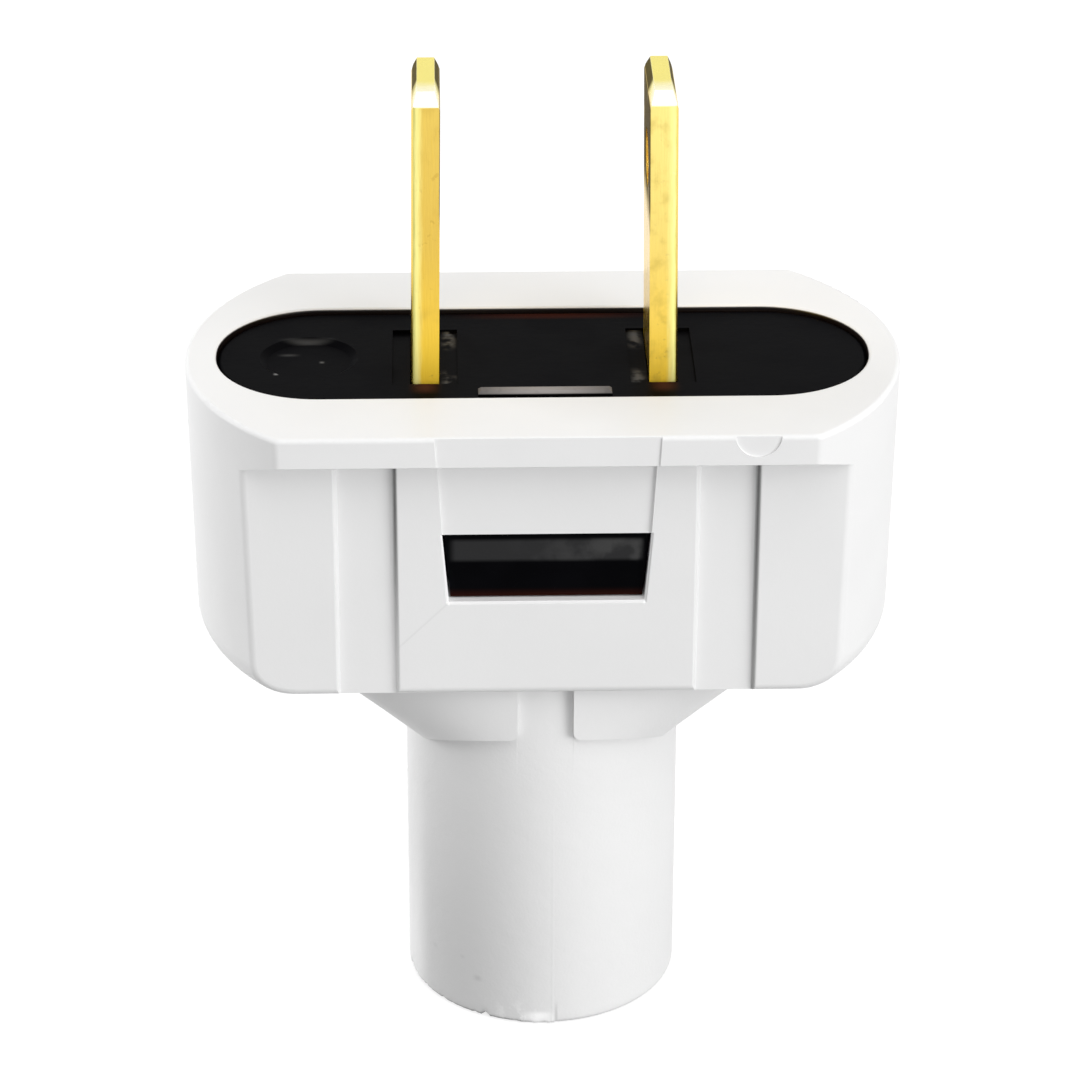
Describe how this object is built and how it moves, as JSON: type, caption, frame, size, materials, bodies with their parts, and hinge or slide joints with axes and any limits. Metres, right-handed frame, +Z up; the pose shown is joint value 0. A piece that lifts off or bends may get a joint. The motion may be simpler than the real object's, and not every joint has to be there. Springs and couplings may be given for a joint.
{
  "type": "two-prong plug",
  "caption": "Rewirable flat-blade mains plug with a snap-in core in a moulded shell with a tubular cord neck.",
  "frame": {"origin": "centre of the neck's end, which the plug stands on", "axes": "+Z up along the blades, +X from the left blade to the right one seen from the latch window, -Y out of the latch window"},
  "size_m": [0.0384, 0.0218, 0.0542],
  "materials": {
    "shell_white": "satin moulded white plastic",
    "core_black": "moulded black plastic",
    "blade_brass": "punched and tumbled brass strip",
    "screw_brass": "turned brass",
    "screw_steel": "zinc-plated steel"
  },
  "bodies": {
    "root": {"shell": "shell_white", "core": "core_black", "core_base": "core_black", "core_screw": "screw_steel", "blade_left": "blade_brass", "blade_right": "blade_brass", "terminal_screw_left": "screw_brass", "terminal_screw_right": "screw_brass", "clamp_plate_left": "screw_steel", "clamp_plate_right": "screw_steel"}
  },
  "joints": []
}
